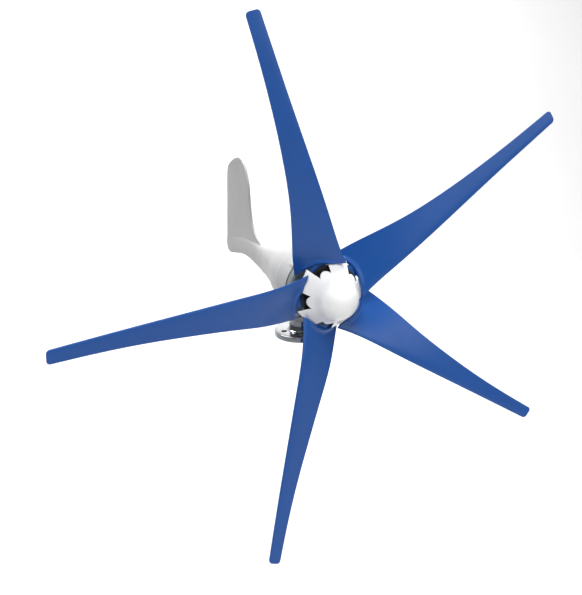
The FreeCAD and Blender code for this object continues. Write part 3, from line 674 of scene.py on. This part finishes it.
# ------------------------------------------------------------------ cast body
def cast_copy(node, name, slot_name, body, voxel, passes):
    """The casting's own shape with the soft fillets and rounded edges of a coated casting."""
    src = NODES[node]
    me = src.data.copy()
    me.name = name
    ob = bpy.data.objects.new(name, me)
    bpy.context.scene.collection.objects.link(ob)
    bm = bmesh.new()
    bm.from_mesh(me)
    bmesh.ops.remove_doubles(bm, verts=bm.verts, dist=1e-6)
    bm.to_mesh(me)
    bm.free()
    me.materials.clear()
    me.materials.append(MATS[slot_name])
    r = ob.modifiers.new("cast", "REMESH")
    r.mode = "VOXEL"
    r.voxel_size = voxel
    r.use_smooth_shade = True
    s = ob.modifiers.new("soften", "SMOOTH")
    s.factor = 0.5
    s.iterations = passes
    bpy.context.view_layer.update()
    dg = bpy.context.evaluated_depsgraph_get()
    done = bpy.data.meshes.new_from_object(ob.evaluated_get(dg))
    ob.modifiers.clear()
    ob.data = done
    done.materials.clear()
    done.materials.append(MATS[slot_name])
    done.polygons.foreach_set("use_smooth", [True] * len(done.polygons))
    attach(ob, body)
    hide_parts(node)
    return ob


# ------------------------------------------------------------------ flange and neck
def lathe_z(profile, steps=192):
    """Closed solid of revolution about the yaw axis from (radius, z) in mm."""
    verts, faces = [], []
    n = len(profile)
    for i in range(steps):
        t = 2 * math.pi * i / steps
        for r, z in profile:
            verts.append((r * math.cos(t) / 1000, r * math.sin(t) / 1000, z / 1000))
    for i in range(steps):
        j = (i + 1) % steps
        for k in range(n):
            q = (k + 1) % n
            faces.append((i * n + k, i * n + q, j * n + q, j * n + k))
    return verts, faces


def build_flange():
    """Flange, neck and spindle turned from one bar: eased rims, a true fillet, chamfered bolt holes."""
    R, T, NR_, TOP = FLANGE_R * 1000, FLANGE_T * 1000, NECK_R * 1000, NECK_TOP * 1000
    prof = [(8.0, 0.6), (8.6, 0.0)]

    def arc(cx, cz, rad, a0, a1, m):
        for i in range(m + 1):
            a = math.radians(a0 + (a1 - a0) * i / m)
            prof.append((cx + rad * math.cos(a), cz + rad * math.sin(a)))

    prof += [(r, 0.0) for r in (20.0, 30.0, 44.0, 56.0)]
    arc(R - 1.2, 1.2, 1.2, -90, 0, 6)
    prof.append((R, T / 2))
    arc(R - 1.2, T - 1.2, 1.2, 0, 90, 6)
    prof += [(r, T) for r in (58.0, 50.0, 42.0)]
    arc(NR_ + 8, T + 8, 8.0, 270, 180, 18)
    prof += [(NR_, T + 12), (NR_, TOP - 3)]
    arc(NR_ - 1.0, TOP - 1.0, 1.0, 0, 90, 5)
    prof += [(18.5, TOP), (18.5, TOP + 5), (15.0, TOP + 5), (15.0, 98.2), (14.0, 98.2), (14.0, 99.8), (15.0, 99.8), (15.0, TOP + 62), (12.0, TOP + 62), (12.0, 142.4), (11.4, 143.0), (8.6, 143.0), (8.0, 142.4)]
    v, f = lathe_z(prof, 224)
    ob = add_mesh("flange_and_spindle", v, f, "polished_steel", "mount")
    recalc(ob)
    for i in range(4):
        a = math.radians(90 * i)
        cx, cy = 45.0 * math.cos(a), 45.0 * math.sin(a)
        cv, cf = lathe_z([(0.0, -1.0), (8.1, -1.0), (6.5, 0.7), (6.5, T - 0.7), (8.1, T + 0.9), (0.0, T + 0.9)], 48)
        cv = [(p[0] + cx / 1000, p[1] + cy / 1000, p[2]) for p in cv]
        me = bpy.data.meshes.new("cutter")
        me.from_pydata(cv, [], cf)
        bm = bmesh.new()
        bm.from_mesh(me)
        bmesh.ops.remove_doubles(bm, verts=bm.verts, dist=1e-6)
        bmesh.ops.dissolve_degenerate(bm, edges=bm.edges, dist=1e-7)
        bmesh.ops.recalc_face_normals(bm, faces=bm.faces)
        bm.to_mesh(me)
        bm.free()
        cutter = bpy.data.objects.new("cutter", me)
        bpy.context.scene.collection.objects.link(cutter)
        b = ob.modifiers.new("hole", "BOOLEAN")
        b.operation = "DIFFERENCE"
        b.solver = "EXACT"
        b.object = cutter
        bpy.context.view_layer.update()
        dg = bpy.context.evaluated_depsgraph_get()
        done = bpy.data.meshes.new_from_object(ob.evaluated_get(dg))
        ob.modifiers.clear()
        ob.data = done
        bpy.data.objects.remove(cutter)
    done = ob.data
    done.materials.clear()
    done.materials.append(MATS["polished_steel"])
    done.polygons.foreach_set("use_smooth", [True] * len(done.polygons))
    e = ob.modifiers.new("split", "EDGE_SPLIT")
    e.split_angle = math.radians(32)
    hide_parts("mount_flange")
    return ob


def build_gasket():
    """Rubber seal between the barrel and its front cover, squeezed out a little past the cover."""
    n = 240
    prof = [(71.0, -101.0), (79.9, -101.0), (80.3, -100.75), (80.3, -99.75), (79.9, -99.5), (71.0, -99.5)]
    verts, faces = [], []
    m = len(prof)
    for i in range(n):
        t = 2 * math.pi * i / n
        for r, y in prof:
            verts.append((r * math.cos(t) / 1000, y / 1000, AXIS_Z + r * math.sin(t) / 1000))
    for i in range(n):
        j = (i + 1) % n
        for k in range(m):
            q = (k + 1) % m
            faces.append((i * m + k, i * m + q, j * m + q, j * m + k))
    ob = add_mesh("cover_seal_ring", verts, faces, "rubber", "nacelle")
    recalc(ob)
    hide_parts("cover_gasket")
    return ob


def main():
    build_nose()
    build_gasket()
    for k in range(5):
        build_blade(k)
    build_flange()
    cast_copy("housing_tail", "cast_body_and_tail", "housing_paint", "nacelle", 0.0016, 8)


main()

# ------------------------------------------------------------------ stage
floor_z = -0.72


def stage_sheet():
    """Floor that turns up into a backdrop in one wide curve."""
    pts = []
    back = 3.4
    rad = 1.6
    pts.append((-6.0, floor_z))
    pts.append((back - rad, floor_z))
    for i in range(1, 25):
        a = math.pi / 2 * i / 24
        pts.append((back - rad + rad * math.sin(a), floor_z + rad - rad * math.cos(a)))
    pts.append((back, floor_z + 5.0))
    ang = math.radians(-27.24)
    fwd = np.array([-math.sin(ang), math.cos(ang)])
    side = np.array([fwd[1], -fwd[0]])
    verts, faces = [], []
    for s, z in pts:
        for w in (-8.0, 8.0):
            p = fwd * s + side * w
            verts.append((p[0], p[1], z))
    for i in range(len(pts) - 1):
        faces.append((2 * i, 2 * i + 1, 2 * i + 3, 2 * i + 2))
    me = bpy.data.meshes.new("floor_sweep")
    me.from_pydata(verts, [], faces)
    me.update()
    me.polygons.foreach_set("use_smooth", [True] * len(me.polygons))
    ob = bpy.data.objects.new("floor_sweep", me)
    bpy.context.scene.collection.objects.link(ob)
    m, nt, p = new_mat("studio_white")
    co = coords(nt)
    nt.links.new(ramp(nt, noise(nt, co, 2.0, 2.0), [(0.3, (0.57, 0.57, 0.57)), (0.7, (0.59, 0.59, 0.59))]), p.inputs["Base Color"])
    p.inputs["Roughness"].default_value = 0.9
    p.inputs["Specular IOR Level"].default_value = 0.1
    me.materials.append(m)
    return ob


stage_sheet()

world = bpy.data.worlds.new("studio")
bpy.context.scene.world = world
world.use_nodes = True
world.node_tree.nodes["Background"].inputs["Color"].default_value = (1.0, 1.0, 1.0, 1.0)
world.node_tree.nodes["Background"].inputs["Strength"].default_value = 0.20


def area(name, pos, target, size, power, colour=(1, 1, 1)):
    d = bpy.data.lights.new(name, "AREA")
    d.shape = "RECTANGLE"
    d.size, d.size_y = size
    d.energy = power
    d.color = colour
    ob = bpy.data.objects.new(name, d)
    bpy.context.scene.collection.objects.link(ob)
    ob.location = pos
    ob.rotation_euler = (Vector(target) - Vector(pos)).to_track_quat("-Z", "Y").to_euler()
    ob.visible_camera = False
    return ob


area("key_top", (-0.7, -1.7, 2.7), (0.0, -0.2, 0.15), (1.5, 1.5), 79)
area("top_soft", (0.1, 0.7, 2.8), (0.1, 0.2, 0.1), (2.6, 1.6), 20)
area("front_soft", (1.15, -2.5, 0.66), (0.22, -0.2, 0.25), (2.2, 1.1), 17)
area("left_soft", (-0.45, -2.6, 1.05), (0.1, -0.2, 0.2), (1.2, 1.0), 3)
area("back_wash", (-0.4, 1.3, 2.9), (0.9, 2.6, -0.7), (3.8, 1.8), 270)

# ------------------------------------------------------------------ camera
cam_d = bpy.data.cameras.new("camera")
cam = bpy.data.objects.new("camera", cam_d)
bpy.context.scene.collection.objects.link(cam)
r2 = Vector((0.923618, -0.381993, -0.031798))
u2 = Vector((0.149513, 0.282635, 0.947504))
fwd = Vector((0.352952, 0.879886, -0.318160))
M = Matrix((r2, u2, -fwd)).transposed().to_4x4()
M.translation = Vector((-0.6696, -1.5507, 0.6603))
cam.matrix_world = M
cam_d.sensor_width = 36.0
cam_d.lens = 45.466
cam_d.shift_x = 9.0 / 595
cam_d.shift_y = -0.0012
cam_d.clip_start = 0.05
cam_d.clip_end = 50
bpy.context.scene.camera = cam

bpy.context.scene.view_settings.view_transform = "Standard"
bpy.context.scene.view_settings.look = "None"
